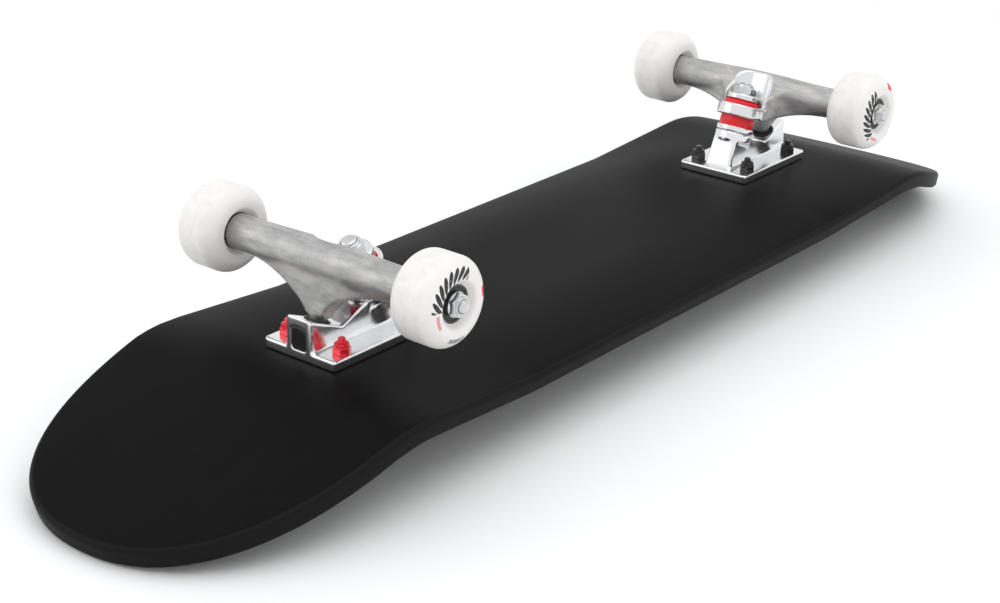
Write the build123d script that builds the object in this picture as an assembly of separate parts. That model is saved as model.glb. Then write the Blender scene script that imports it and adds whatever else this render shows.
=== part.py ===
from build123d import *
import os
from math import sin, cos, tan, asin, radians, pi

# Skateboard, stored upside down: it rests on the tips of its nose and tail, wheels up.
# +X runs towards the nose, +Y across the board, +Z up. Millimetres.
# The origin is on the floor, under the middle of the whole board.

# ---------------------------------------------------------------- driving dimensions
# Deck
DECK_HALF_WIDTH = 103.2            # 8 1/8 inch deck
DECK_THICKNESS = 11.0              # seven maple plies
NOSE_BEND_START = 248.0            # from the middle of the trucks, along the board
NOSE_KICK = 15.5                   # degrees
NOSE_LENGTH = 418.5                # to the tip, along the surface
TAIL_BEND_START = 261.0
TAIL_KICK = 18.4
TAIL_LENGTH = 410.5
BEND_RADIUS = 125.0
TAPER_START = 247.0                # where the straight rails begin to close in
CONCAVE_DROP = 9.1                 # how far the rails curl away from the trucks
CONCAVE_FLAT = 36.0                # half width of the flat middle of the deck
CONCAVE_FULL = 165.0               # full concave up to here, fading out at the kicks
TIP_CONCAVE = 0.6
OUTLINE_P, OUTLINE_Q = 2.72, 2.26  # exponents of the rounded ends
GRIP_THICKNESS = 0.8
GRIP_INSET = 1.5                   # the grip tape stops this far inside the deck's outline

# Trucks, in the truck's own frame: u outwards to the tip, v across, w away from the deck
TRUCK_SPACING = 417.0              # between the middles of the two baseplates
HOLE_SPACING_U = 53.98             # mounting bolt pattern
HOLE_SPACING_V = 41.28
PLATE_LENGTH, PLATE_WIDTH, PLATE_THICKNESS = 80.5, 55.5, 6.2
PLATE_CORNER = 2.6
RIDGE_FOOT_HALF, RIDGE_TOP_HALF = 10.3, 8.6
TOWER_HEIGHT = 25.5
TOWER_LENGTH = 25.8                # along the top of the pivot's tower
BADGE_WIDTH, BADGE_HEIGHT, BADGE_DEPTH = 12.0, 14.5, 0.5
BADGE_MIDDLE = 12.6                # height of the recessed panel on the tower's outer face
AXLE_U, AXLE_W = 17.4, 53.2
AXLE_RADIUS = 3.97                 # 5/16 inch
AXLE_HALF = 101.6                  # 8 inch truck
HANGER_HALF = 69.5

# Kingpin: its free end stands at (KING_U, KING_W) and it leans outwards
KING_U, KING_W = -1.0, 60.4
KING_LEAN = 21.5
KING_RADIUS = 4.76                 # 3/8 inch
# Stations down the kingpin, measured from its free end
NUT_TOP, NUT_BOTTOM = 1.4, 8.5
TOP_WASHER_RIM = 12.4
RING_TOP, RING_BOTTOM = 16.2, 24.8
RING_SEAT = 1.9                    # depth of each bushing seat in the ring
LOW_WASHER_RIM, LOW_WASHER_FLOOR, LOW_WASHER_BACK = 32.1, 34.6, 36.2
HEAD_TOP, HEAD_BOTTOM = 55.5, 61.0
RING_RADIUS = 16.0
RING_BORE = 7.2
BUSHING_RADIUS = 12.0
WASHER_RADIUS = 13.0
WASHER_SHEET = 1.4
NUT_ACROSS_FLATS = 14.3            # 9/16 inch
POCKET_RADIUS = 14.5               # room round the nut in the hanger,
POCKET_SPREAD = 3.2                # drawn out this far to each side

# Pivot: the ball at the hanger's pin turns in the pivot cup
PIVOT_U, PIVOT_W = 27.5, 13.0
PIVOT_TILT = 22.2                  # the pin leans inwards
PIVOT_BALL = 5.0
PIVOT_RECESS = 6.76                # from the ball's centre to the tower's top face
CUP_RADIUS = 7.2

# Wheels and bearings
WHEEL_RADIUS, WHEEL_HALF_WIDTH = 26.0, 16.0
BEARING_OUTER, BEARING_INNER, BEARING_WIDTH = 11.0, 4.0, 7.0
BEARING_PITCH, BALL_RADIUS, BALLS = 7.5, 1.984, 7
SPACER_WIDTH = 10.0
SPEED_RING = 0.8
AXLE_NUT_FLATS = 12.7
AXLE_NUT_HEIGHT = 5.6
BOLT_RADIUS = 2.4                  # number 10 mounting bolts
BOLT_HOLE = 2.65
BOLT_HEAD_RADIUS = 4.7
BOLT_TIP = 15.4                    # bolt tips stand this far off the deck
SOCKET_RADIUS, SOCKET_DEPTH = 1.8, 2.4
LOCKNUT_FLATS, LOCKNUT_HEIGHT = 9.5, 6.3

FIT = 0.03                         # gap of a close fit, on the radius
GAP = 0.1                          # gap between pieces that move past each other

os.makedirs("parts", exist_ok=True)


# ---------------------------------------------------------------- small helpers
def turned(points, close=True):
    """A solid turned about Z from its half outline, a list of (radius, height)."""
    outline = Polyline([(r, 0, h) for r, h in points], close=close)
    return revolve(make_face(outline), Axis.Z)


def tube(outer, inner, low, high):
    return turned([(inner, low), (outer, low), (outer, high), (inner, high)])


def rod(radius, low, high, chamfer=0.0):
    corner = [(radius, high - chamfer), (radius - chamfer, high)] if chamfer else [(radius, high)]
    return turned([(0, low), (radius, low)] + corner + [(0, high)])


def hexagon_nut(flats, low, high, bore=0.0, bevel=0.12):
    """A hexagonal nut or head on Z whose corners are turned off at both faces."""
    corner = flats / 2 / cos(pi / 6)
    drop = corner - flats / 2 * (1 + bevel / 4)
    body = Pos(0, 0, low) * extrude(RegularPolygon(corner, 6), high - low)
    envelope = turned([(0, low), (flats / 2, low), (corner, low + drop), (corner, high - drop),
                       (flats / 2, high), (0, high)])
    body = body & envelope
    if bore:
        body = body - rod(bore, low - 1, high + 1)
    return body


def write(name, shape):
    solids = shape if isinstance(shape, list) else [shape]
    loose = [s for piece in solids for s in piece.solids()]
    out = loose[0] if len(loose) == 1 else Compound(children=loose)
    out.label = name
    export_step(out, f"parts/{name}.step")


# ---------------------------------------------------------------- deck and grip tape
def path_point(s, bend_start, kick):
    """Place along the middle of the deck's truck side: distance out, height and slope."""
    arc = BEND_RADIUS * radians(kick)
    turn = min(max(s - bend_start, 0) / BEND_RADIUS, radians(kick))
    straight = max(s - bend_start - arc, 0)
    out = min(s, bend_start) + BEND_RADIUS * sin(turn) + straight * cos(radians(kick))
    height = -BEND_RADIUS * (1 - cos(turn)) - straight * sin(radians(kick))
    return out, height, turn


def concave_at(s, bend_start, kick):
    fade_end = bend_start + BEND_RADIUS * radians(kick)
    fade = min(max((s - CONCAVE_FULL) / (fade_end - CONCAVE_FULL), 0), 1)
    return CONCAVE_DROP + (TIP_CONCAVE - CONCAVE_DROP) * fade


def deck_section(s, bend_start, kick, upper, lower, half_width):
    """The deck's cross-section at s, between two depths below its truck side: a flat middle
    and two rails that curl down on arcs."""
    out, height, slope = path_point(s, bend_start, kick)
    drop = concave_at(s, bend_start, kick)
    reach = DECK_HALF_WIDTH - CONCAVE_FLAT
    radius = (reach ** 2 + drop ** 2) / (2 * drop)
    sweep = asin((half_width - CONCAVE_FLAT) / radius)

    def on_arc(side, angle, depth):
        across = CONCAVE_FLAT + (radius - depth) * sin(angle)
        down = radius - (radius - depth) * cos(angle)
        return (side * across, -down)

    def half_edges(depth):
        ends = [on_arc(side, sweep, depth) for side in (-1, 1)]
        starts = [on_arc(side, 0, depth) for side in (-1, 1)]
        middles = [on_arc(side, sweep / 2, depth) for side in (-1, 1)]
        return [ThreePointArc(ends[0], middles[0], starts[0]), Line(starts[0], starts[1]),
                ThreePointArc(starts[1], middles[1], ends[1])]

    top, bottom = half_edges(upper), half_edges(lower)
    sides = [Line(on_arc(side, sweep, upper), on_arc(side, sweep, lower)) for side in (-1, 1)]
    face = make_face(top + bottom + sides)
    plane = Plane(origin=(out, 0, height), x_dir=(0, 1, 0), z_dir=(cos(slope), 0, -sin(slope)))
    return plane * face


def end_outline(bend_start, kick, length, inset):
    """The rounded end of the deck, drawn flat on its kick and cut square through it."""
    reach = length - TAPER_START
    width = DECK_HALF_WIDTH - inset
    steps = 9
    rail = []
    for i in range(steps + 1):
        turn = pi / 2 * i / steps
        along = TAPER_START + (reach - inset) * sin(turn) ** (2 / OUTLINE_P)
        rail.append((along, width * cos(turn) ** (2 / OUTLINE_Q)))
    start = (CONCAVE_FULL - 40, width)
    right = Spline(rail, tangents=[(1, 0), (0, -1)])
    left = mirror(right, Plane.XZ)
    sides = [Line(start, rail[0]), Line((start[0], -width), (rail[0][0], -width)),
             Line(start, (start[0], -width))]
    face = make_face([right, left] + sides)
    arc = BEND_RADIUS * radians(kick)
    out, height, slope = path_point(bend_start + arc, bend_start, kick)
    along = Vector(cos(slope), 0, -sin(slope))
    origin = Vector(out, 0, height) - along * (bend_start + arc)
    plane = Plane(origin=origin, x_dir=along, z_dir=(sin(slope), 0, cos(slope)))
    return plane * extrude(face, 60, both=True)


def board_end(bend_start, kick, length, upper, lower, inset):
    """One end of the board: a loft while the concave fades and the deck bends, then a flat kick."""
    bend_end = bend_start + BEND_RADIUS * radians(kick)
    steps = 16
    stations = [CONCAVE_FULL + (bend_end - CONCAVE_FULL) * i / steps for i in range(steps + 1)]
    half_width = DECK_HALF_WIDTH - inset
    sections = [deck_section(s, bend_start, kick, upper, lower, half_width) for s in stations]
    slope = radians(kick)
    flat = extrude(sections[-1], length + 8 - bend_end, dir=(cos(slope), 0, -sin(slope)))
    return (loft(sections) + flat) & end_outline(bend_start, kick, length, inset)


def board(upper, lower, inset):
    """A layer of the board between two depths below the deck's truck side."""
    half_width = DECK_HALF_WIDTH - inset
    middle = deck_section(CONCAVE_FULL, NOSE_BEND_START, NOSE_KICK, upper, lower, half_width)
    middle = extrude(middle, 2 * CONCAVE_FULL, dir=(-1, 0, 0))
    nose = board_end(NOSE_BEND_START, NOSE_KICK, NOSE_LENGTH, upper, lower, inset)
    tail = board_end(TAIL_BEND_START, TAIL_KICK, TAIL_LENGTH, upper, lower, inset)
    return middle + nose + Rot(0, 0, 180) * tail


def bolt_places():
    return [Pos(u * HOLE_SPACING_U / 2, v * HOLE_SPACING_V / 2, 0) for u in (1, -1) for v in (1, -1)]


# ---------------------------------------------------------------- truck frames
KING_AXIS = Vector(sin(radians(KING_LEAN)), 0, cos(radians(KING_LEAN)))
# Local Z runs up the kingpin and zero is its free end, so a station s lies at -s
KING = Plane(origin=(KING_U, 0, KING_W), x_dir=(0, 1, 0), z_dir=KING_AXIS).location
PIVOT = Plane(origin=(PIVOT_U, 0, PIVOT_W), x_dir=(0, 1, 0),
              z_dir=(-sin(radians(PIVOT_TILT)), 0, cos(radians(PIVOT_TILT)))).location
AXLE = Plane(origin=(AXLE_U, 0, AXLE_W), x_dir=(1, 0, 0), z_dir=(0, 1, 0)).location


def side_slab(points, half_width):
    """A side view in (u, w), pulled out both ways across the truck."""
    face = make_face(Polyline([(u, 0, w) for u, w in points], close=True))
    return extrude(face, half_width, dir=(0, 1, 0), both=True)


# ---------------------------------------------------------------- baseplate and pivot cup
def baseplate():
    plate = extrude(RectangleRounded(PLATE_LENGTH, PLATE_WIDTH, PLATE_CORNER), PLATE_THICKNESS)
    rim = plate.faces().sort_by(Axis.Z)[-1].edges()
    plate = chamfer(rim, 0.6)
    end = PLATE_LENGTH / 2
    tower_in = end - TOWER_LENGTH
    face_drop = TOWER_LENGTH * tan(radians(PIVOT_TILT))
    seat = -LOW_WASHER_BACK
    boss_in = (KING_U + KING_AXIS.X * seat - WASHER_RADIUS * 0.86 * KING_AXIS.Z,
               KING_W + KING_AXIS.Z * seat + WASHER_RADIUS * 0.86 * KING_AXIS.X)
    boss_out = (KING_U + KING_AXIS.X * seat + WASHER_RADIUS * KING_AXIS.Z,
                KING_W + KING_AXIS.Z * seat - WASHER_RADIUS * KING_AXIS.X)
    side = [(end, 0), (end, TOWER_HEIGHT), (tower_in, TOWER_HEIGHT - face_drop), boss_out, boss_in,
            (-34.5, PLATE_THICKNESS), (-34.5, 0)]
    ridge = side_slab(side, RIDGE_FOOT_HALF + 2)
    foot, top = RIDGE_FOOT_HALF, RIDGE_TOP_HALF
    front = Polyline([(0, -foot, 0), (0, foot, 0), (0, foot, PLATE_THICKNESS), (0, top, 33),
                      (0, -top, 33), (0, -foot, PLATE_THICKNESS)], close=True)
    ridge = ridge & extrude(make_face(front), 60, dir=(1, 0, 0), both=True)
    uprights = [e for e in ridge.edges() if e.length > 12 and abs(e.tangent_at(0.5).Z) > 0.8]
    ridge = fillet(uprights, 1.8)
    body = plate + ridge + KING * rod(WASHER_RADIUS, seat - 6, seat)
    # Pivot pocket, kingpin bore with its head pocket, and the cast hollow under the saddle
    body = body - PIVOT * rod(CUP_RADIUS + FIT, -PIVOT_BALL - 2.4, PIVOT_RECESS + 4)
    body = body - KING * rod(KING_RADIUS + FIT, -HEAD_BOTTOM - 20, seat + 1)
    body = body - KING * rod(NUT_ACROSS_FLATS / 2 / cos(pi / 6) + 0.5, -HEAD_BOTTOM - 20, -HEAD_TOP)
    body = body - Pos(3.0, 0, 0) * Box(20, 14, 18)
    for place in bolt_places():
        body = body - place * rod(BOLT_HOLE, -1, PLATE_THICKNESS + 1)
    # Recessed badge panel on the tower's outer face
    face = Plane(origin=(end, 0, BADGE_MIDDLE), x_dir=(0, 1, 0), z_dir=(1, 0, 0))
    return body - face * extrude(RectangleRounded(BADGE_WIDTH, BADGE_HEIGHT, 2.6), BADGE_DEPTH, both=True)


def pivot_cup():
    lip = PIVOT_RECESS
    floor = -PIVOT_BALL - 2.2
    cup = turned([(0, floor), (CUP_RADIUS, floor), (CUP_RADIUS, lip + FIT), (CUP_RADIUS + 0.5, lip + FIT),
                  (CUP_RADIUS + 0.5, lip + 0.5), (CUP_RADIUS, lip + 0.9), (0, lip + 0.9)])
    cup = cup - Sphere(PIVOT_BALL + GAP)
    mouth = turned([(0, 0), (PIVOT_BALL + GAP, 0), (CUP_RADIUS - 0.6, lip + 1.0), (0, lip + 1.0)])
    return PIVOT * (cup - mouth)


# ---------------------------------------------------------------- kingpin stack
def kingpin():
    shank = rod(KING_RADIUS, -HEAD_TOP, 0, chamfer=0.8)
    head = hexagon_nut(NUT_ACROSS_FLATS, -HEAD_BOTTOM, -HEAD_TOP)
    return KING * (shank + head)


def kingpin_nut():
    collar = tube(NUT_ACROSS_FLATS / 2 - 1.0, KING_RADIUS + FIT, -NUT_TOP - 1.8, -NUT_TOP)
    return KING * (hexagon_nut(NUT_ACROSS_FLATS, -NUT_BOTTOM, -NUT_TOP - 1.8, KING_RADIUS + FIT) + collar)


def roadside_washer():
    top, rim = -NUT_BOTTOM, -TOP_WASHER_RIM
    out, bore = BUSHING_RADIUS, KING_RADIUS + GAP
    inside = out - WASHER_SHEET
    floor = top - WASHER_SHEET
    return KING * turned([(bore, floor), (inside - 0.6, floor), (inside, rim), (out, rim),
                          (out, top - 1.0), (out - 1.0, top), (bore, top)])


def roadside_bushing():
    top = -NUT_BOTTOM - WASHER_SHEET - FIT
    seat = -RING_TOP - RING_SEAT + FIT
    bore = KING_RADIUS + 0.15
    return KING * turned([(bore, seat), (BUSHING_RADIUS, seat), (BUSHING_RADIUS, -RING_TOP + 1.2),
                          (BUSHING_RADIUS - 1.7, -TOP_WASHER_RIM), (BUSHING_RADIUS - 2.3, top), (bore, top)])


def boardside_bushing():
    low, high = -LOW_WASHER_FLOOR + FIT, -RING_BOTTOM + RING_SEAT - FIT
    bore = KING_RADIUS + 0.15
    return KING * tube(BUSHING_RADIUS, bore, low, high)


def boardside_washer():
    floor, back, rim = -LOW_WASHER_FLOOR, -LOW_WASHER_BACK, -LOW_WASHER_RIM
    bore, inside, out = KING_RADIUS + GAP, BUSHING_RADIUS + 0.2, WASHER_RADIUS
    return KING * turned([(bore, back), (out - 0.8, back), (out, back + 0.8), (out, rim),
                          (inside, rim), (inside, floor), (bore, floor)])


# ---------------------------------------------------------------- hanger
def hanger():
    """A cast hanger: a tapering barrel round the axle, a body that arches down from it to the
    pivot pin, and a ring for the bushings. The body is where three outlines meet: its side,
    its front and its plan."""
    collar, half = 10.7, HANGER_HALF
    wall = [(collar, half), (collar, half - 3), (10.3, half - 4), (10.8, 40), (11.6, 14)]
    wall = [(r, -h) for r, h in wall] + wall[::-1]
    barrel = AXLE * turned([(0, -half)] + wall + [(0, half)])
    neck = PIVOT_RECESS + 2.9
    pin_side, pin_up = sin(radians(PIVOT_TILT)), cos(radians(PIVOT_TILT))
    neck_mid = (PIVOT_U - neck * pin_side, PIVOT_W + neck * pin_up)
    neck_out = (neck_mid[0] + 5.6 * pin_up, neck_mid[1] + 5.6 * pin_side)
    neck_in = (neck_mid[0] - 5.6 * pin_up, neck_mid[1] - 5.6 * pin_side)

    def on_king(station, outward):
        return (KING_U - station * KING_AXIS.X + outward * KING_AXIS.Z,
                KING_W - station * KING_AXIS.Z - outward * KING_AXIS.X)

    side = side_slab([(AXLE_U + 10.4, AXLE_W - 2), (AXLE_U + 11.2, 40), neck_out, neck_in,
                      on_king(RING_BOTTOM, RING_RADIUS - 0.5), on_king(RING_BOTTOM, 0),
                      on_king(RING_TOP, 0), (AXLE_U - 9.5, AXLE_W + 6)], 70)
    # The arch: a quarter ellipse each side, from the barrel's underside down to the neck
    half_span, foot, rise, root = 58.0, 5.6, 23.5, 20.0
    crown = AXLE_W + 4
    arch = [EllipticalCenterArc((half_span, root), half_span - foot, rise, start_angle=90, arc_size=90),
            Line((foot, root), (foot, 15)), Line((foot, 15), (-foot, 15)), Line((-foot, 15), (-foot, root)),
            EllipticalCenterArc((-half_span, root), half_span - foot, rise, start_angle=0, arc_size=90),
            Line((-half_span, root + rise), (-half_span, crown)),
            Line((-half_span, crown), (half_span, crown)),
            Line((half_span, crown), (half_span, root + rise))]
    front = Plane.YZ * make_face(arch)
    front = extrude(front, 60, dir=(1, 0, 0), both=True)
    left = [(-14, 14), (-2, 17), (3, 21), (7, 30), (10, 44), (13, half_span), (21.5, half_span), (30, 9)]
    right = [(u, -v) for u, v in left[::-1]]
    plan = extrude(make_face(Polyline(left + right, close=True)), 80)
    body = side & front & plan
    ring = KING * rod(RING_RADIUS, -RING_BOTTOM, -RING_TOP)
    pin = PIVOT * (Sphere(PIVOT_BALL) + turned([(0, 0), (PIVOT_BALL - 0.1, 0), (5.0, PIVOT_RECESS + 0.6),
                                                 (5.6, neck + 0.6), (0, neck + 0.6)]))
    whole = barrel + body + ring + pin
    pocket = extrude(SlotCenterToCenter(2 * POCKET_SPREAD, 2 * POCKET_RADIUS), 50)
    whole = whole - KING * Pos(0, 0, -RING_TOP) * pocket
    whole = whole - KING * rod(RING_BORE, -RING_BOTTOM - 1, -RING_TOP + 1)
    for low, high in ((-RING_TOP - RING_SEAT, -RING_TOP + 1), (-RING_BOTTOM - 1, -RING_BOTTOM + RING_SEAT)):
        whole = whole - KING * rod(BUSHING_RADIUS + 0.3, low, high)
    return whole - AXLE * rod(AXLE_RADIUS + FIT, -half - 1, half + 1)


def axle():
    half = AXLE_HALF
    return AXLE * turned([(0, -half), (AXLE_RADIUS - 0.7, -half), (AXLE_RADIUS, 0.7 - half),
                          (AXLE_RADIUS, half - 0.7), (AXLE_RADIUS - 0.7, half), (0, half)])


# ---------------------------------------------------------------- stations along the axle
INNER_BEARING = HANGER_HALF + SPEED_RING
OUTER_BEARING = INNER_BEARING + BEARING_WIDTH + SPACER_WIDTH
STACK_END = OUTER_BEARING + BEARING_WIDTH
WHEEL_MIDDLE = (INNER_BEARING + STACK_END) / 2


def both_sides(shape):
    """A piece on the axle at +v and its twin at -v."""
    return [AXLE * shape, AXLE * Rot(180, 0, 0) * shape]


def speed_rings():
    inner = tube(5.9, AXLE_RADIUS + FIT, HANGER_HALF, HANGER_HALF + SPEED_RING)
    outer = tube(5.9, AXLE_RADIUS + FIT, STACK_END, STACK_END + SPEED_RING)
    return both_sides(inner) + both_sides(outer)


def axle_nuts():
    low = STACK_END + SPEED_RING
    bore = AXLE_RADIUS + FIT
    flange = turned([(bore, low), (7.4, low), (7.4, low + 0.7), (6.2, low + 1.5), (bore, low + 1.5)])
    nut = hexagon_nut(AXLE_NUT_FLATS, low, low + AXLE_NUT_HEIGHT - 1.2, bore)
    collar = tube(5.5, bore, low + 1, low + AXLE_NUT_HEIGHT)
    return both_sides(flange + nut + collar)


def bearing_spacers():
    return both_sides(tube(5.6, AXLE_RADIUS + FIT, INNER_BEARING + BEARING_WIDTH, OUTER_BEARING))


# ---------------------------------------------------------------- bearings, on local Z
def raceway():
    return Torus(BEARING_PITCH, BALL_RADIUS + 0.06)


def bearing_stations():
    return [Pos(0, 0, start + BEARING_WIDTH / 2) for start in (INNER_BEARING, OUTER_BEARING)]


def outer_race():
    half, land, step = BEARING_WIDTH / 2, 9.1, 9.7
    ring = turned([(land, -half + 1), (step, -half + 1), (step, -half), (BEARING_OUTER - FIT, -half),
                   (BEARING_OUTER - FIT, half), (step, half), (step, half - 1), (land, half - 1)])
    return ring - raceway()


def inner_race():
    half = BEARING_WIDTH / 2
    return tube(5.9, BEARING_INNER + FIT, -half, half) - raceway()


def shields():
    half = BEARING_WIDTH / 2
    return [tube(9.66, 6.05, half - 0.75, half - 0.25), tube(9.66, 6.05, 0.25 - half, 0.75 - half)]


def balls():
    ring = [Rot(0, 0, 360 / BALLS * i) * Pos(BEARING_PITCH, 0, 0) for i in range(BALLS)]
    return [place * Sphere(BALL_RADIUS) for place in ring]


def cage():
    ring = tube(8.3, 6.7, -1.0, 2.5)
    for i in range(BALLS):
        ring = ring - Rot(0, 0, 360 / BALLS * i) * Pos(BEARING_PITCH, 0, 0) * Sphere(BALL_RADIUS + 0.05)
    return ring


# ---------------------------------------------------------------- wheel
def wheel():
    """A conical urethane wheel with rounded shoulders, on local Z, centred on its width."""
    half, radius = WHEEL_HALF_WIDTH, WHEEL_RADIUS
    seat = BEARING_OUTER
    land = BEARING_WIDTH + SPACER_WIDTH / 2

    def half_outline(side):
        # From the tread to the bearing seat, on one side of the wheel
        points = [(radius, 7.0), (radius - 0.25, 9.0), (radius - 1.2, 11.0), (radius - 3.0, 13.1),
                  (radius - 5.4, 14.9), (radius - 7.6, half), (14.6, half), (13.2, 15.2),
                  (seat + 0.6, land + 1.0), (seat, land + 0.4), (seat, SPACER_WIDTH / 2),
                  (9.3, SPACER_WIDTH / 2)]
        return [(r, side * h) for r, h in points]

    return turned(half_outline(1) + half_outline(-1)[::-1])


# ---------------------------------------------------------------- mounting hardware
def mounting_bolt():
    """Flat-headed bolt from the grip side, through the deck and the baseplate."""
    face = -DECK_THICKNESS - GRIP_THICKNESS + 0.2
    cone = BOLT_HEAD_RADIUS - BOLT_RADIUS
    bolt = turned([(0, face), (BOLT_HEAD_RADIUS, face), (BOLT_HEAD_RADIUS, face + 0.4),
                   (BOLT_RADIUS, face + 0.4 + cone), (BOLT_RADIUS, BOLT_TIP - 0.5),
                   (BOLT_RADIUS - 0.5, BOLT_TIP), (0, BOLT_TIP)])
    return bolt - Pos(0, 0, face) * extrude(RegularPolygon(SOCKET_RADIUS, 6), SOCKET_DEPTH)


def bolt_clearance():
    face = -DECK_THICKNESS - GRIP_THICKNESS
    cone = BOLT_HEAD_RADIUS - BOLT_RADIUS
    head, rim = BOLT_HEAD_RADIUS + GAP, face + 0.6 + GAP
    return turned([(0, face - 1), (head, face - 1), (head, rim), (BOLT_HOLE, rim + cone),
                   (BOLT_HOLE, 1), (0, 1)])


def mounting_nut():
    low = PLATE_THICKNESS
    body = hexagon_nut(LOCKNUT_FLATS, low, low + LOCKNUT_HEIGHT - 1.9, BOLT_RADIUS + FIT)
    collar = turned([(BOLT_RADIUS + FIT, low + 3), (4.4, low + 3), (4.4, low + LOCKNUT_HEIGHT - 1.0),
                     (3.6, low + LOCKNUT_HEIGHT), (BOLT_RADIUS + FIT, low + LOCKNUT_HEIGHT)])
    return body + collar


# ---------------------------------------------------------------- assembly
NOSE_TIP = path_point(NOSE_LENGTH, NOSE_BEND_START, NOSE_KICK)
TAIL_TIP = path_point(TAIL_LENGTH, TAIL_BEND_START, TAIL_KICK)
LAYERS = DECK_THICKNESS + GRIP_THICKNESS


def lowest_depth(tip, kick):
    """How far below the deck's flat truck side the grip tape's edge reaches at one tip."""
    slope = radians(kick)
    return -tip[1] - GRIP_INSET * sin(slope) + LAYERS * cos(slope)


NOSE_FOOT = lowest_depth(NOSE_TIP, NOSE_KICK)
TAIL_FOOT = lowest_depth(TAIL_TIP, TAIL_KICK)
DECK_FACE_Z = max(NOSE_FOOT, TAIL_FOOT)
MIDDLE_X = (TAIL_TIP[0] - NOSE_TIP[0]) / 2

BOARD = Pos(MIDDLE_X, 0, DECK_FACE_Z)
TRUCKS = {
    "nose": BOARD * Pos(TRUCK_SPACING / 2, 0, 0),
    "tail": BOARD * Pos(-TRUCK_SPACING / 2, 0, 0) * Rot(0, 0, 180),
}


def drilled(layer):
    """Countersunk mounting holes through a layer of the board, under both trucks."""
    for truck in (Pos(TRUCK_SPACING / 2, 0, 0), Pos(-TRUCK_SPACING / 2, 0, 0)):
        for place in bolt_places():
            layer = layer - truck * place * bolt_clearance()
    return layer


write("deck", BOARD * drilled(board(0, DECK_THICKNESS, 0)))
write("grip_tape", BOARD * drilled(board(DECK_THICKNESS + FIT, LAYERS, GRIP_INSET)))

for end, truck in TRUCKS.items():
    write(f"{end}_baseplate", truck * baseplate())
    write(f"{end}_pivot_cup", truck * pivot_cup())
    write(f"{end}_kingpin", truck * kingpin())
    write(f"{end}_kingpin_nut", truck * kingpin_nut())
    write(f"{end}_roadside_washer", truck * roadside_washer())
    write(f"{end}_roadside_bushing", truck * roadside_bushing())
    write(f"{end}_boardside_bushing", truck * boardside_bushing())
    write(f"{end}_boardside_washer", truck * boardside_washer())
    write(f"{end}_hanger", truck * hanger())
    write(f"{end}_axle", truck * axle())
    write(f"{end}_speed_rings", [truck * ring for ring in speed_rings()])
    write(f"{end}_axle_nuts", [truck * nut for nut in axle_nuts()])
    write(f"{end}_bearing_spacers", [truck * spacer for spacer in bearing_spacers()])
    # The pair of bolts nearest the nose is coloured, to mark that end of the board
    pairs = {"tip_side": bolt_places()[:2], "middle_side": bolt_places()[2:]}
    groups = pairs if end == "nose" else {"mounting": bolt_places()}
    for group, places in groups.items():
        write(f"{end}_{group}_bolts", [truck * place * mounting_bolt() for place in places])
        write(f"{end}_{group}_nuts", [truck * place * mounting_nut() for place in places])
    for side, turn in (("left", 1 if end == "nose" else -1), ("right", -1 if end == "nose" else 1)):
        hub = truck * AXLE * Rot(0 if turn == 1 else 180, 0, 0)
        stations = bearing_stations()
        corner = f"{end}_{side}"
        write(f"{corner}_wheel", hub * Pos(0, 0, WHEEL_MIDDLE) * wheel())
        write(f"{corner}_bearing_outer_races", [hub * place * outer_race() for place in stations])
        write(f"{corner}_bearing_inner_races", [hub * place * inner_race() for place in stations])
        seals = [place * shield for place in stations for shield in shields()]
        write(f"{corner}_bearing_shields", [hub * seal for seal in seals])
        ball_sets = [place * ball for place in stations for ball in balls()]
        write(f"{corner}_bearing_balls", [hub * ball for ball in ball_sets])
        write(f"{corner}_bearing_cages", [hub * place * cage() for place in stations])
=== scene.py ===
import math

import bmesh
import bpy
import numpy as np
from mathutils import Matrix, Vector


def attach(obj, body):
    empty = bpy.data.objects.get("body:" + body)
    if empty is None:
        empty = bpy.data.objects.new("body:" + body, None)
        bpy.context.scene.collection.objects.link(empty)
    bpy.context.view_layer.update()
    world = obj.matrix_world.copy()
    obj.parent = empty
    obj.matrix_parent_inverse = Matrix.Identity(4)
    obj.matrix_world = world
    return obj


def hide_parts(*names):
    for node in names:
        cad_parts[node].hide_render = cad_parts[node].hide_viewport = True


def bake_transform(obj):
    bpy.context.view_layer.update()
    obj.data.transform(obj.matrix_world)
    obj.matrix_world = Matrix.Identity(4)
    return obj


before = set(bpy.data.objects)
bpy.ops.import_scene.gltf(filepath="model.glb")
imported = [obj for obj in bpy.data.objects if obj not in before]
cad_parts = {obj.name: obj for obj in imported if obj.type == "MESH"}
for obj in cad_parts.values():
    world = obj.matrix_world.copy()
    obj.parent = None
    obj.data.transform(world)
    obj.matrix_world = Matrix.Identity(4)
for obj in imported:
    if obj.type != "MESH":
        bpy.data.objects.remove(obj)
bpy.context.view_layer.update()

# Lengths are millimetres, as in the CAD source. Meshes and objects are made in metres. In a
# truck's own frame, u runs outwards to the tip, v across and w away from the deck.
MM = 0.001

# ---------------------------------------------------------------- sizes shared with the CAD source
DECK_HALF_WIDTH, DECK_THICKNESS = 103.2, 11.0
NOSE = {"bend": 248.0, "kick": math.radians(15.5), "length": 418.5}
TAIL = {"bend": 261.0, "kick": math.radians(18.4), "length": 410.5}
BEND_RADIUS, TAPER_START = 125.0, 247.0
CONCAVE_DROP, CONCAVE_FLAT, CONCAVE_FULL, TIP_CONCAVE = 9.1, 36.0, 165.0, 0.6
OUTLINE_P, OUTLINE_Q = 2.72, 2.26
GRIP_THICKNESS = 0.8
TRUCK_HALF_SPACING = 208.5
DECK_FACE_Z, MIDDLE_X = 52.0435, -4.4476
HOLE_U, HOLE_V = 26.99, 20.64
PLATE_LENGTH, PLATE_WIDTH, PLATE_THICKNESS = 80.5, 55.5, 6.2
AXLE_U, AXLE_W, AXLE_RADIUS, AXLE_HALF, HANGER_HALF = 17.4, 53.2, 3.97, 101.6, 69.5
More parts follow.
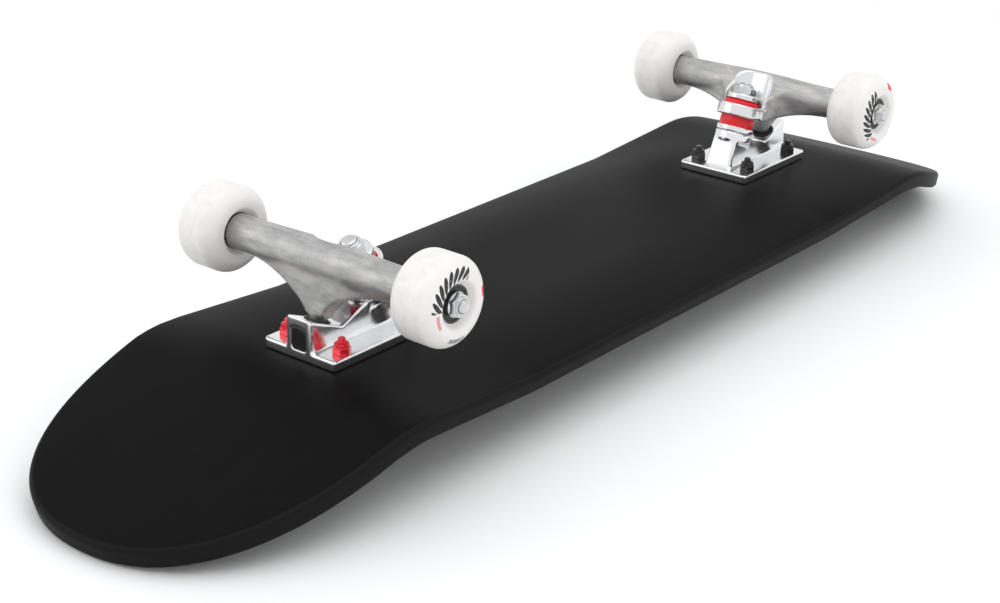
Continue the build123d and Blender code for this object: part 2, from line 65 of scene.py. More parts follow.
KING_U, KING_W, KING_LEAN, KING_RADIUS = -1.0, 60.4, math.radians(21.5), 4.76
NUT_TOP, NUT_BOTTOM, TOP_WASHER_RIM = 1.4, 8.5, 12.4
RING_TOP, RING_BOTTOM, RING_SEAT, RING_RADIUS = 16.2, 24.8, 1.9, 16.0
POCKET_RADIUS, POCKET_SPREAD = 14.5, 3.2
LOW_WASHER_RIM, LOW_WASHER_FLOOR, LOW_WASHER_BACK = 32.1, 34.6, 36.2
HEAD_TOP, HEAD_BOTTOM = 55.5, 61.0
BUSHING_RADIUS, WASHER_RADIUS, KING_FLATS = 12.0, 13.0, 14.3
PIVOT_U, PIVOT_W, PIVOT_TILT, PIVOT_BALL, PIVOT_RECESS = 27.5, 13.0, math.radians(22.2), 5.0, 6.76
CUP_RADIUS = 7.2
WHEEL_HALF = 16.0
BEARING_OUTER, BEARING_WIDTH, SPACER_WIDTH, SPEED_RING = 11.0, 7.0, 10.0, 0.8
AXLE_NUT_FLATS, AXLE_NUT_HEIGHT = 12.7, 5.6
BOLT_RADIUS, BOLT_TIP, BOLT_HEAD = 2.4, 15.4, 4.7
LOCKNUT_FLATS, LOCKNUT_HEIGHT, LOCKNUT_COLLAR = 9.5, 6.3, 4.35
BADGE_WIDTH, BADGE_HEIGHT, BADGE_CORNER, BADGE_THICKNESS, BADGE_MIDDLE = 11.2, 13.7, 2.4, 0.42, 12.6

# ---------------------------------------------------------------- sizes of the detail added here
DECK_TOP_EDGE, DECK_LOW_EDGE, PLIES = 3.4, 1.4, 7
BOLT_HOLE_RADIUS, BOLT_SOCKET, BOLT_THREAD_START = 2.65, 1.8, 10.0
FINE_PITCH, FINE_DEPTH, FINE_ROW = 1.06, 0.34, 0.15
AXLE_THREAD_DEPTH = 0.3
BOLT_PITCH, BOLT_THREAD_DEPTH, BOLT_ROW = 0.8, 0.3, 0.12
SNUG, SEATED, SLIDING = 0.02, 0.05, 0.1
HANGER_VOXEL, BASEPLATE_VOXEL = 0.55, 0.5

INNER_BEARING = HANGER_HALF + SPEED_RING
OUTER_BEARING = INNER_BEARING + BEARING_WIDTH + SPACER_WIDTH
STACK_END = OUTER_BEARING + BEARING_WIDTH
WHEEL_MIDDLE = (INNER_BEARING + STACK_END) / 2


# ---------------------------------------------------------------- frames
def axes(origin, x, z):
    """A frame in millimetres from its origin, x axis and z axis."""
    x, z = Vector(x), Vector(z)
    y = z.cross(x)
    m = Matrix((x, y, z)).transposed().to_4x4()
    m.translation = Vector(origin)
    return m


def in_metres(m):
    """The same frame with its origin in metres."""
    out = m.copy()
    out.translation = m.translation * MM
    return out


KING_AXIS = Vector((math.sin(KING_LEAN), 0, math.cos(KING_LEAN)))
KING = axes((KING_U, 0, KING_W), (0, 1, 0), KING_AXIS)
PIVOT = axes((PIVOT_U, 0, PIVOT_W), (0, 1, 0), (-math.sin(PIVOT_TILT), 0, math.cos(PIVOT_TILT)))
AXLE = axes((AXLE_U, 0, AXLE_W), (1, 0, 0), (0, 1, 0))
TRUCKS = {
    "nose": Matrix.Translation((MIDDLE_X + TRUCK_HALF_SPACING, 0, DECK_FACE_Z)),
    "tail": (Matrix.Translation((MIDDLE_X - TRUCK_HALF_SPACING, 0, DECK_FACE_Z))
             @ Matrix.Rotation(math.pi, 4, "Z")),
}
TURNED = Matrix.Rotation(math.pi, 4, "X")


# ---------------------------------------------------------------- mesh helpers
def rounded(corners, steps=4):
    """A profile of (radius, height) from corners of (radius, height, fillet)."""
    out = []
    last = len(corners) - 1
    for i, (r, z, fillet) in enumerate(corners):
        if fillet == 0 or (i in (0, last) and corners[0][0] == 0):
            out.append((r, z))
            continue
        here = Vector((r, z))
        before = Vector(corners[i - 1][:2]) - here
        after = Vector(corners[(i + 1) % len(corners)][:2]) - here
        half = before.angle(after) / 2
        room = 0.49 * min(before.length, after.length)
        reach = min(fillet / math.tan(half), room)
        a, b = here + before.normalized() * reach, here + after.normalized() * reach
        for k in range(steps + 1):
            t = k / steps
            p = a * (1 - t) ** 2 + here * 2 * t * (1 - t) + b * t ** 2
            out.append((p.x, p.y))
    return out


def lathe(profile, turns=72, flats=0.0, thread=None):
    """(points, faces) of a profile turned about Z. It is closed on the axis or, off the axis,
    closed on itself. flats cuts it to a hexagon of that width, and thread = (low, high, pitch,
    depth) cuts a screw thread between two heights."""
    on_axis = profile[0][0] == 0
    points, rings = [], []
    for r, z in profile:
        if r == 0:
            rings.append([len(points)])
            points.append((0, 0, z))
            continue
        ring = []
        for k in range(turns):
            a = 2 * math.pi * k / turns
            radius = r
            if flats:
                turn = (a + math.pi / 6) % (math.pi / 3) - math.pi / 6
                radius = min(r, flats / 2 / math.cos(turn))
            if thread and thread[0] <= z <= thread[1]:
                phase = (z / thread[2] - k / turns) % 1
                radius -= thread[3] * (1 - abs(2 * phase - 1))
            ring.append(len(points))
            points.append((radius * math.cos(a), radius * math.sin(a), z))
        rings.append(ring)
    faces = []
    pairs = list(zip(rings, rings[1:])) + ([] if on_axis else [(rings[-1], rings[0])])
    for low, high in pairs:
        for k in range(turns):
            j = (k + 1) % turns
            face = [low[k % len(low)], low[j % len(low)], high[j % len(high)], high[k % len(high)]]
            face = list(dict.fromkeys(face))
            if len(face) > 2:
                faces.append(face)
    return np.array(points, float), faces


def hexagon(flats, low, high, bore, chamfer=0.9, low_chamfer=0.0):
    """A hexagonal nut with its corners turned off on cones."""
    corner = flats / 2 / math.cos(math.pi / 6)
    inside_flats = 0.15
    start = flats / 2 - inside_flats
    profile = [(bore, low), (bore, high)] if bore else [(0, high)]
    steps = 6
    for k in range(steps + 1):
        r = start + (corner - start) * k / steps
        profile.append((r, high - (r - start) * chamfer))
    for k in range(steps, -1, -1):
        r = start + (corner - start) * k / steps
        profile.append((r, low + (r - start) * low_chamfer))
    if not bore:
        profile.append((0, low))
    return lathe(profile, flats=flats)


def moved(shape, m):
    """(points, faces) carried by a frame in millimetres."""
    points, faces = shape
    r = np.array(m.to_3x3())
    return points @ r.T + np.array(m.translation), faces


def mesh_of(name, shapes, sharp=32):
    """A mesh in metres from one or more (points, faces), smooth except across sharp edges."""
    mesh = bpy.data.meshes.new(name)
    points, faces, start = [], [], 0
    for p, f in shapes:
        points.append(p)
        faces += [[start + i for i in face] for face in f]
        start += len(p)
    mesh.from_pydata((np.vstack(points) * MM).tolist(), [], faces)
    bm = bmesh.new()
    bm.from_mesh(mesh)
    bmesh.ops.remove_doubles(bm, verts=bm.verts, dist=1e-7)
    bmesh.ops.recalc_face_normals(bm, faces=bm.faces)
    bm.to_mesh(mesh)
    bm.free()
    mesh.shade_smooth()
    mesh.set_sharp_from_angle(angle=math.radians(sharp))
    return mesh


def piece(name, mesh, place, material, slot, body, *stands_for):
    """An object from a mesh, put in place and tied to the frame. body may be None, and then the
    piece is tied to no frame."""
    obj = bpy.data.objects.new(name, mesh)
    bpy.context.scene.collection.objects.link(obj)
    obj.matrix_world = in_metres(place)
    mesh.materials.clear()
    mesh.materials.append(material)
    if stands_for:
        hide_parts(*stands_for)
    if body:
        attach(obj, body)
    return obj


# ---------------------------------------------------------------- material helpers
class Graph:
    """A Principled material built up node by node, on the piece's own coordinates."""

    def __init__(self, name):
        self.material = bpy.data.materials.new(name)
        self.material.use_nodes = True
        self.tree = self.material.node_tree
        self.shader = self.tree.nodes["Principled BSDF"]
        self.where = self.node("ShaderNodeTexCoord").outputs["Object"]

    def node(self, kind, inputs=None, **settings):
        n = self.tree.nodes.new(kind)
        for key, value in settings.items():
            setattr(n, key, value)
        for key, value in (inputs or {}).items():
            self.put(n.inputs[key], value)
        return n

    def put(self, socket, value):
        if isinstance(value, bpy.types.NodeSocket):
            self.tree.links.new(value, socket)
        else:
            socket.default_value = value

    def set(self, **values):
        for key, value in values.items():
            self.put(self.shader.inputs[key.replace("_", " ")], value)

    def stretched(self, scale):
        return self.node("ShaderNodeMapping", {"Vector": self.where, "Scale": scale}).outputs["Vector"]

    def noise(self, scale, detail=4.0, rough=0.55, stretch=None, distortion=0.0):
        where = self.stretched(stretch) if stretch else self.where
        inputs = {"Vector": where, "Scale": scale, "Detail": detail, "Roughness": rough,
                  "Distortion": distortion}
        return self.node("ShaderNodeTexNoise", inputs).outputs["Fac"]

    def cells(self, scale):
        return self.node("ShaderNodeTexVoronoi", {"Vector": self.where, "Scale": scale}).outputs["Distance"]

    def math(self, how, a, b=0.0):
        n = self.node("ShaderNodeMath", operation=how)
        for socket, value in zip(n.inputs, (a, b)):
            self.put(socket, value)
        return n.outputs[0]

    def span(self, value, a, b, low, high):
        """value carried from the range a..b to low..high, and held at its ends."""
        inputs = {"Value": value, "From Min": a, "From Max": b, "To Min": low, "To Max": high}
        return self.node("ShaderNodeMapRange", inputs).outputs["Result"]

    def ramp(self, value, *stops):
        n = self.node("ShaderNodeValToRGB", {"Fac": value})
        marks = n.color_ramp.elements
        while len(marks) < len(stops):
            marks.new(0.5)
        for mark, (at, colour) in zip(marks, stops):
            mark.position = at
            mark.color = (*colour, 1)
        return n.outputs["Color"]

    def mix(self, amount, a, b):
        n = self.node("ShaderNodeMix", data_type="RGBA")
        self.put(n.inputs["Factor"], amount)
        self.put(n.inputs["A"], a if isinstance(a, bpy.types.NodeSocket) else (*a, 1))
        self.put(n.inputs["B"], b if isinstance(b, bpy.types.NodeSocket) else (*b, 1))
        return n.outputs["Result"]

    def attribute(self, name):
        return self.node("ShaderNodeAttribute", attribute_name=name).outputs["Fac"]

    def edges(self, low=0.53, high=0.62):
        """1 along convex edges, 0 elsewhere."""
        return self.span(self.node("ShaderNodeNewGeometry").outputs["Pointiness"], low, high, 0.0, 1.0)

    def bump(self, height, distance, strength=1.0, under=None):
        inputs = {"Height": height, "Distance": distance * MM, "Strength": strength}
        if under:
            inputs["Normal"] = under
        out = self.node("ShaderNodeBump", inputs).outputs["Normal"]
        self.put(self.shader.inputs["Normal"], out)
        return out


def stained_maple():
    """Black stain over maple: a faint lengthwise grain, a satin clear coat, and a painted sheen
    that lightens the rounded edges, where the plies show as fine lines."""
    g = Graph("stained_maple")
    grain = g.noise(60, 6, 0.62, (0.12, 1.0, 1.0), 0.6)
    cloud = g.noise(7, 3, 0.5)
    colour = g.ramp(grain, (0.3, (0.0026, 0.0026, 0.0027)), (0.7, (0.0042, 0.0042, 0.0043)))
    rim = g.attribute("rim")
    # The rounded edge is painted lighter: a painted sheen along the rails.
    colour = g.mix(g.math("MULTIPLY", rim, 0.55), colour, (0.016, 0.016, 0.0165))
    g.set(Base_Color=colour)
    patches = g.math("ADD", g.math("MULTIPLY", cloud, 0.12), g.math("MULTIPLY", grain, 0.1))
    g.set(Roughness=g.math("ADD", patches, 0.32))
    g.shader.inputs["Specular IOR Level"].default_value = 0.045
    plies = g.math("PINGPONG", g.attribute("depth"), 0.5 / PLIES)
    plies = g.math("MULTIPLY", g.span(plies, 0.0, 0.012, 0.0, 1.0), rim)
    fine = g.noise(420, 3, 0.6, (0.08, 1.0, 1.0))
    under = g.bump(fine, 0.05, 0.35)
    g.bump(plies, 0.12, 0.5, under)
    return g.material


def grip_tape():
    """Silicon carbide grit: packed sharp grains that catch the light."""
    g = Graph("grip_tape")
    grain = g.cells(1900)
    cloud = g.noise(9, 3)
    colour = g.ramp(grain, (0.0, (0.05, 0.05, 0.052)), (0.35, (0.014, 0.014, 0.014)),
                    (1.0, (0.006, 0.006, 0.006)))
    dust = g.span(cloud, 0.5, 0.75, 0.0, 0.25)
    g.set(Base_Color=g.mix(dust, colour, (0.035, 0.034, 0.033)))
    g.set(Roughness=g.span(grain, 0.0, 0.6, 0.55, 0.95))
    g.bump(g.math("ADD", g.math("MULTIPLY", grain, -1.0), g.noise(2600, 2)), 0.35, 0.9)
    return g.material


def metal(name, dark, light, rough, grain=900, bump=0.02, wear=0.6):
    """A metal with drifting tone, a fine grain in its roughness and bump, and polished edges."""
    g = Graph(name)
    tone = g.noise(70, 5, 0.6)
    fine = g.noise(grain, 3, 0.6)
    colour = g.ramp(tone, (0.32, dark), (0.68, light))
    worn = g.math("MULTIPLY", g.edges(), wear)
    g.set(Base_Color=g.mix(worn, colour, (0.95, 0.95, 0.95)), Metallic=1.0)
    base = g.span(g.math("ADD", g.math("MULTIPLY", tone, 0.5), g.math("MULTIPLY", fine, 0.5)),
                  0.3, 0.7, *rough)
    g.set(Roughness=g.math("SUBTRACT", base, g.math("MULTIPLY", worn, (rough[1] - rough[0]) * 0.5)))
    g.bump(fine, bump, 0.5)
    return g.material


def cast_aluminium():
    """Tumbled casting with streaks across the barrel; faces cut on a lathe are bright."""
    g = Graph("cast_aluminium")
    streak = g.noise(150, 5, 0.65, (1.6, 0.35, 1.6), 0.4)
    ticks = g.noise(700, 3, 0.7, (0.5, 2.2, 0.5))
    cloud = g.noise(38, 5, 0.6)
    colour = g.ramp(streak, (0.3, (0.36, 0.36, 0.365)), (0.5, (0.52, 0.51, 0.495)),
                    (0.72, (0.64, 0.625, 0.60)))
    colour = g.mix(g.span(cloud, 0.45, 0.7, 0.0, 0.6), colour, (0.35, 0.355, 0.37))
    colour = g.mix(g.span(ticks, 0.54, 0.72, 0.0, 0.6), colour, (0.27, 0.28, 0.31))
    worn = g.math("MULTIPLY", g.edges(0.52, 0.6), 0.5)
    colour = g.mix(worn, colour, (0.88, 0.88, 0.87))
    cut = g.attribute("machined")
    g.set(Base_Color=g.mix(cut, colour, (0.80, 0.80, 0.81)), Metallic=1.0)
    satin = g.span(g.math("ADD", streak, g.math("MULTIPLY", ticks, 0.6)), 0.5, 1.1, 0.46, 0.6)
    bright = g.span(ticks, 0.3, 0.7, 0.17, 0.27)
    amount = g.math("SUBTRACT", satin, bright)
    g.set(Roughness=g.math("SUBTRACT", satin, g.math("MULTIPLY", amount, cut)))
    uncut = g.math("SUBTRACT", 1.0, g.math("MULTIPLY", cut, 0.85))
    g.bump(g.math("MULTIPLY", g.math("ADD", ticks, streak), uncut), 0.05, 0.55)
    return g.material


def urethane(name, dark, light, rough, soft, radius):
    """Cast urethane: slightly cloudy and translucent, with a fine mould skin."""
    g = Graph(name)
    cloud = g.noise(55, 4, 0.55)
    fine = g.noise(850, 3, 0.6)
    g.set(Base_Color=g.ramp(cloud, (0.3, dark), (0.7, light)), Roughness=g.span(fine, 0.3, 0.7, *rough))
    g.shader.inputs["Subsurface Weight"].default_value = soft
    g.shader.inputs["Subsurface Radius"].default_value = radius
    g.shader.inputs["Subsurface Scale"].default_value = 0.004
    g.bump(fine, 0.015, 0.4)
    return g


def wheel_urethane():
    """White urethane with generic printed strokes on the outer face, and greyer in patches
    on the tread."""
    g = urethane("wheel_urethane", (0.83, 0.812, 0.79), (0.865, 0.85, 0.83), (0.36, 0.5), 0.1,
                 (1.0, 0.9, 0.8))
    printed = g.node("ShaderNodeAttribute", attribute_name="print_place").outputs["Vector"]
    x, y, z = g.node("ShaderNodeSeparateXYZ", {"Vector": printed}).outputs
    squares = g.math("ADD", g.math("MULTIPLY", x, x), g.math("MULTIPLY", y, y))
    r = g.math("DIVIDE", g.math("SQRT", squares), MM)
    angle = g.math("DEGREES", g.math("ARCTAN2", y, x))

    def between(value, low, high, soft=0.12):
        return g.math("MULTIPLY", g.span(value, low - soft, low + soft, 0.0, 1.0),
                      g.span(value, high - soft, high + soft, 1.0, 0.0))

    def strokes(pitch, slant, middle, half, thick):
        """Tapered strokes along an arc, leaning by slant degrees for each millimetre outwards."""
        lean = g.math("ADD", angle, g.math("MULTIPLY", g.math("SUBTRACT", r, middle), slant))
        off = g.math("ABSOLUTE", g.math("SUBTRACT", g.math("FRACT", g.math("DIVIDE", lean, pitch)), 0.5))
        reach = g.math("DIVIDE", g.math("SUBTRACT", r, middle), half)
        taper = g.math("SUBTRACT", 1.0, g.math("MULTIPLY", reach, reach))
        width = g.math("MULTIPLY", g.math("SQRT", g.math("MAXIMUM", taper, 0.0)), thick)
        return g.span(g.math("SUBTRACT", width, off), 0.0, 0.05, 0.0, 1.0)

    outside = g.span(z, 0.008, 0.0085, 0.0, 1.0)
    arc = g.math("MULTIPLY", strokes(14.0, 2.6, 17.7, 3.7, 0.44), between(angle, -56.0, 56.0, 1.0))
    bar = g.math("MULTIPLY", between(r, 18.4, 22.6), between(angle, -124.0, -106.0, 1.0))
    dash = g.math("MULTIPLY", strokes(5.5, -2.0, 17.8, 1.3, 0.36), between(angle, 60.0, 88.0, 0.6))
    dots = g.math("MULTIPLY", strokes(6.0, 3.0, 20.0, 1.5, 0.36), between(angle, 124.0, 160.0, 0.6))
    black = g.math("MULTIPLY", g.math("MAXIMUM", arc, dots), outside)
    red = g.math("MULTIPLY", g.math("MAXIMUM", bar, dash), outside)
    chipped = g.span(g.noise(420, 3, 0.6), 0.28, 0.36, 0.0, 1.0)
    white = g.shader.inputs["Base Color"].links[0].from_socket
    # The tread is greyed in patches.
    tread_patches = g.math("MULTIPLY", between(r, 25.4, 27.0, 0.3),
                  g.span(g.noise(160, 4, 0.6), 0.45, 0.7, 0.0, 0.22))
    colour = g.mix(tread_patches, white, (0.52, 0.50, 0.47))
    colour = g.mix(g.math("MULTIPLY", black, chipped), colour, (0.02, 0.02, 0.022))
    colour = g.mix(g.math("MULTIPLY", red, chipped), colour, (0.80, 0.03, 0.05))
    g.set(Base_Color=colour)
    return g.material


def plated(name, dark, light, bare_and_highlight, rough, metallic, wear):
    """Coloured plating, lighter on the edges: on black plating the steel shows through there,
    and on red plating the pink edge colour is a painted highlight.
    """
    g = Graph(name)
    cloud = g.noise(160, 4, 0.6)
    fine = g.noise(1300, 3, 0.6)
    # Convex edges take the edge colour: bare steel on black plating, a painted pink highlight on red.
    worn = g.math("MULTIPLY", g.edges(0.54, 0.66), g.span(cloud, 0.35, 0.6, 0.2, wear))
    g.set(Base_Color=g.mix(worn, g.ramp(cloud, (0.3, dark), (0.7, light)), bare_and_highlight), Metallic=metallic)
    g.set(Roughness=g.math("ADD", g.span(fine, 0.3, 0.7, *rough), g.math("MULTIPLY", worn, 0.08)))
    g.shader.inputs["Coat Weight"].default_value = 0.25
    g.bump(fine, 0.015, 0.4)
    return g.material


def moulded(name, dark, light, rough, rings=False):
    """Moulded rubber or nylon, with fine moulding rings on a seal."""
    g = Graph(name)
    cloud = g.noise(220, 4, 0.6)
    fine = g.noise(900, 3, 0.6)
    g.set(Base_Color=g.ramp(cloud, (0.3, dark), (0.7, light)), Roughness=g.span(fine, 0.3, 0.7, *rough))
    under = g.bump(fine, 0.03, 0.5)
    if rings:
        wave = g.node("ShaderNodeTexWave", {"Vector": g.where, "Scale": 190.0, "Distortion": 0.2},
                      wave_type="RINGS", rings_direction="Z")
        g.bump(wave.outputs["Fac"], 0.05, 0.4, under)
    return g.material


MATERIALS = {
    "stained_maple": stained_maple(),
    "grip_tape": grip_tape(),
    "polished_aluminium": metal("polished_aluminium", (0.80, 0.80, 0.81), (0.90, 0.90, 0.90), (0.13, 0.24),
                                grain=500, bump=0.012, wear=0.4),
    "cast_aluminium": cast_aluminium(),
    "pivot_rubber": moulded("pivot_rubber", (0.012, 0.012, 0.012), (0.025, 0.025, 0.025), (0.35, 0.5)),
    "bushing_urethane": urethane("bushing_urethane", (0.72, 0.004, 0.010), (0.86, 0.008, 0.016),
                                 (0.30, 0.42), 0.06, (1.0, 0.05, 0.05)).material,
    "bright_steel": metal("bright_steel", (0.72, 0.72, 0.73), (0.84, 0.84, 0.84), (0.07, 0.15)),
    "zinc_steel": metal("zinc_steel", (0.56, 0.58, 0.60), (0.72, 0.72, 0.71), (0.16, 0.28)),
    "axle_steel": metal("axle_steel", (0.50, 0.50, 0.51), (0.66, 0.66, 0.66), (0.2, 0.32)),
    # Its pink edge colour is a painted highlight.
    "red_hardware": plated("red_hardware", (0.74, 0.006, 0.016), (0.88, 0.012, 0.028), (0.92, 0.42, 0.42),
                           (0.22, 0.34), 0.35, 0.7),
    "black_hardware": plated("black_hardware", (0.014, 0.014, 0.014), (0.03, 0.03, 0.03),
                             (0.30, 0.29, 0.28), (0.28, 0.42), 0.6, 0.6),
    "wheel_urethane": wheel_urethane(),
    "bearing_shield": moulded("bearing_shield", (0.010, 0.010, 0.010), (0.022, 0.022, 0.022),
                              (0.3, 0.42), rings=True),
    "bearing_cage": moulded("bearing_cage", (0.66, 0.62, 0.50), (0.76, 0.72, 0.60), (0.4, 0.5)),
    "bearing_steel": metal("bearing_steel", (0.66, 0.66, 0.67), (0.80, 0.80, 0.80), (0.1, 0.18)),
}


# ---------------------------------------------------------------- deck
def deck_places(s, v, depth):
    """Points of the deck, in its own frame, from the distance along it (plus towards the
    nose), the distance across and the depth below its truck side."""
    s, v, depth = np.broadcast_arrays(np.asarray(s, float), np.asarray(v, float), np.asarray(depth, float))
    ahead = s >= 0
    bend = np.where(ahead, NOSE["bend"], TAIL["bend"])
    kick = np.where(ahead, NOSE["kick"], TAIL["kick"])
    along = np.abs(s)
    turn = np.clip((along - bend) / BEND_RADIUS, 0, kick)
    straight = np.maximum(along - bend - BEND_RADIUS * kick, 0)
    out = np.minimum(along, bend) + BEND_RADIUS * np.sin(turn) + straight * np.cos(kick)
    height = -BEND_RADIUS * (1 - np.cos(turn)) - straight * np.sin(kick)
    fade_end = bend + BEND_RADIUS * kick
    fade = np.clip((along - CONCAVE_FULL) / (fade_end - CONCAVE_FULL), 0, 1)
    drop = CONCAVE_DROP + (TIP_CONCAVE - CONCAVE_DROP) * fade
    reach = DECK_HALF_WIDTH - CONCAVE_FLAT
    radius = (reach ** 2 + drop ** 2) / (2 * drop)
    angle = np.arcsin(np.clip((np.abs(v) - CONCAVE_FLAT) / radius, 0, 1))
    across = np.minimum(np.abs(v), CONCAVE_FLAT) + (radius - depth) * np.sin(angle)
    down = radius - (radius - depth) * np.cos(angle)
    x = np.where(ahead, 1, -1) * (out - down * np.sin(turn))
    return np.stack([x, np.sign(v) * across, height - down * np.cos(turn)], -1)


def deck_mesh():
    """The board as loops across it from tail to nose. "depth" runs from 0 on the truck side to 1
    under the grip tape, and "rim" is 1 on the rounded edge."""
    end_steps, middle_steps, across_steps = 44, 90, 36
    turn = np.linspace(0, math.pi / 2, end_steps + 1)
    rows = []
    for end, way in ((TAIL, -1), (NOSE, 1)):
        reach = end["length"] - TAPER_START
        along = way * (TAPER_START + reach * np.sin(turn) ** (2 / OUTLINE_P))
        width = DECK_HALF_WIDTH * np.cos(turn) ** (2 / OUTLINE_Q)
        width[-1] = 0
        rows.append(np.stack([along, width], -1))
    middle = np.linspace(-TAPER_START, TAPER_START, middle_steps + 1)[1:-1]
    middle = np.stack([middle, np.full_like(middle, DECK_HALF_WIDTH)], -1)
    outline = np.vstack([rows[0][::-1], middle, rows[1]])
    slope = np.gradient(outline, axis=0)
    normal = np.stack([-slope[:, 1], slope[:, 0]], -1)
    normal /= np.linalg.norm(normal, axis=1)[:, None]
    normal[0], normal[-1] = (-1, 0), (1, 0)

    # Rounded edge: a large radius on the truck side and a small one under the grip tape
    top, low, flat_rows = DECK_TOP_EDGE, DECK_LOW_EDGE, 6
    rim = [(top * (1 - math.sin(a)), top * (1 - math.cos(a))) for a in np.linspace(0, math.pi / 2, 9)]
    rim += [(0, top + (DECK_THICKNESS - top - low) * k / flat_rows) for k in range(1, flat_rows)]
    rim += [(low * (1 - math.cos(a)), DECK_THICKNESS - low * (1 - math.sin(a)))
            for a in np.linspace(0, math.pi / 2, 6)]
    columns = np.linspace(-1, 1, across_steps + 1)
    loops = []
    for (s, w), n in zip(outline, normal):
        def at(inset):
            return s - n[0] * inset, max(w - n[1] * inset, 0)
        upper, lower = at(rim[0][0]), at(rim[-1][0])
        loop = [(upper[0], upper[1] * c, 0.0, 0.0) for c in columns]
        loop += [(*at(inset), depth, 1.0) for inset, depth in rim[1:-1]]
        loop += [(lower[0], -lower[1] * c, DECK_THICKNESS, 0.0) for c in columns]
        loop += [(at(inset)[0], -at(inset)[1], depth, 1.0) for inset, depth in rim[-2:0:-1]]
        loops.append(loop)
    table = np.array(loops)
    count, size = table.shape[:2]
    points = deck_places(table[..., 0], table[..., 1], table[..., 2]).reshape(-1, 3)
    faces = []
    for i in range(count - 1):
        for k in range(size):
            j = (k + 1) % size
            faces.append([i * size + k, i * size + j, (i + 1) * size + j, (i + 1) * size + k])
    mesh = bpy.data.meshes.new("deck_surface")
    mesh.from_pydata((points * MM).tolist(), [], faces)
    for name, values in (("depth", table[..., 2] / DECK_THICKNESS), ("rim", table[..., 3])):
        mesh.attributes.new(name, "FLOAT", "POINT").data.foreach_set("value", values.ravel())
    bm = bmesh.new()
    bm.from_mesh(mesh)
    bmesh.ops.remove_doubles(bm, verts=bm.verts, dist=1e-5)
    bmesh.ops.dissolve_degenerate(bm, edges=bm.edges, dist=1e-6)
    bmesh.ops.recalc_face_normals(bm, faces=bm.faces)
    bm.to_mesh(mesh)
    bm.free()
    return mesh


def cut(mesh, cutter):
    """The mesh less the cutter's solid."""
    obj = bpy.data.objects.new("being_cut", mesh)
    tool = bpy.data.objects.new("cutter", cutter)
    for o in (obj, tool):
        bpy.context.scene.collection.objects.link(o)
    mod = obj.modifiers.new("cut", "BOOLEAN")
    mod.operation, mod.solver, mod.object = "DIFFERENCE", "EXACT", tool
    done = bpy.data.meshes.new_from_object(obj.evaluated_get(bpy.context.evaluated_depsgraph_get()))
    bpy.data.objects.remove(obj)
    bpy.data.objects.remove(tool)
    return done


BOLT_PLACES = [Matrix.Translation((u * HOLE_U, v * HOLE_V, 0)) for u in (1, -1) for v in (1, -1)]
BOLT_FACE = -DECK_THICKNESS - GRIP_THICKNESS + 0.2


def countersinks():
    """Cutters for the eight bolt holes, countersunk from the grip side."""
    face, cone = -DECK_THICKNESS - GRIP_THICKNESS, BOLT_HEAD - BOLT_RADIUS
    mouth, land, past = BOLT_HEAD + SLIDING, face + 0.7, 1
    hole = lathe([(0, face - past), (mouth, face - past), (mouth, land), (BOLT_HOLE_RADIUS, land + cone),
                  (BOLT_HOLE_RADIUS, past), (0, past)], 40)
    return [moved(hole, Matrix.Translation((side * TRUCK_HALF_SPACING, 0, 0)) @ place)
            for side in (1, -1) for place in BOLT_PLACES]


deck = cut(deck_mesh(), mesh_of("countersinks", countersinks()))
deck.shade_smooth()
deck.set_sharp_from_angle(angle=math.radians(40))
BOARD = Matrix.Translation((MIDDLE_X, 0, DECK_FACE_Z))
piece("deck_board", deck, BOARD, MATERIALS["stained_maple"], "stained_maple", "board", "deck")


# ---------------------------------------------------------------- castings from the CAD solids
def remeshed(node, truck, voxel):
    """A copy of a CAD node in its truck's frame, on an even quad mesh."""
    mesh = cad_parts[node].data.copy()
    mesh.transform(in_metres(truck).inverted())
    bm = bmesh.new()
    bm.from_mesh(mesh)
    bmesh.ops.remove_doubles(bm, verts=bm.verts, dist=1e-6)
    bm.to_mesh(mesh)
    bm.free()
    obj = bpy.data.objects.new("casting", mesh)
    bpy.context.scene.collection.objects.link(obj)
    mod = obj.modifiers.new("voxels", "REMESH")
    mod.mode, mod.voxel_size = "VOXEL", voxel * MM
    even = bpy.data.meshes.new_from_object(obj.evaluated_get(bpy.context.evaluated_depsgraph_get()))
    bpy.data.objects.remove(obj)
    return even


def points_of(mesh):
    """The mesh's points, one row each."""
    co = np.empty(len(mesh.vertices) * 3)
    mesh.vertices.foreach_get("co", co)
    return co.reshape(-1, 3)


def relax(mesh, fills, rounds, held_fill, held_round):
    """Fills hollow corners as a casting's fillets do, then evens the whole surface. Each held
    array keeps its points from 0, free, to 1, fixed. The first rounds move every point."""
    free_rounds, fill_pull, round_pull = 3, 0.6, 0.5
    pairs = np.empty(len(mesh.edges) * 2, int)
    mesh.edges.foreach_get("vertices", pairs)
    a, b = pairs.reshape(-1, 2).T
    count = len(mesh.vertices)
    degree = (np.bincount(a, minlength=count) + np.bincount(b, minlength=count))[:, None]
    co = points_of(mesh)

    def pull():
        total = [np.bincount(a, co[b, k], count) + np.bincount(b, co[a, k], count) for k in range(3)]
        return np.stack(total, -1) / degree - co

    normals = np.empty(count * 3)
    for step in range(fills):
        if step % 5 == 0:
            mesh.vertices.foreach_set("co", co.ravel())
            mesh.update()
            mesh.vertex_normals.foreach_get("vector", normals)
        shift = pull()
        rise = (shift * normals.reshape(-1, 3)).sum(1, keepdims=True)
        amount = np.where(rise > 0, fill_pull, 0.0) * (1 - held_fill[:, None])
        co = co + shift * amount
    for step in range(rounds):
        amount = round_pull if step < free_rounds else round_pull * (1 - held_round[:, None])
        co = co + pull() * amount
    mesh.vertices.foreach_set("co", co.ravel())
    mesh.update()
    return co


def smoothstep(x, low, high):
    """0 at low and 1 at high, with no corner at either. low may be the larger."""
    t = np.clip((x - low) / (high - low), 0, 1)
    return t * t * (3 - 2 * t)


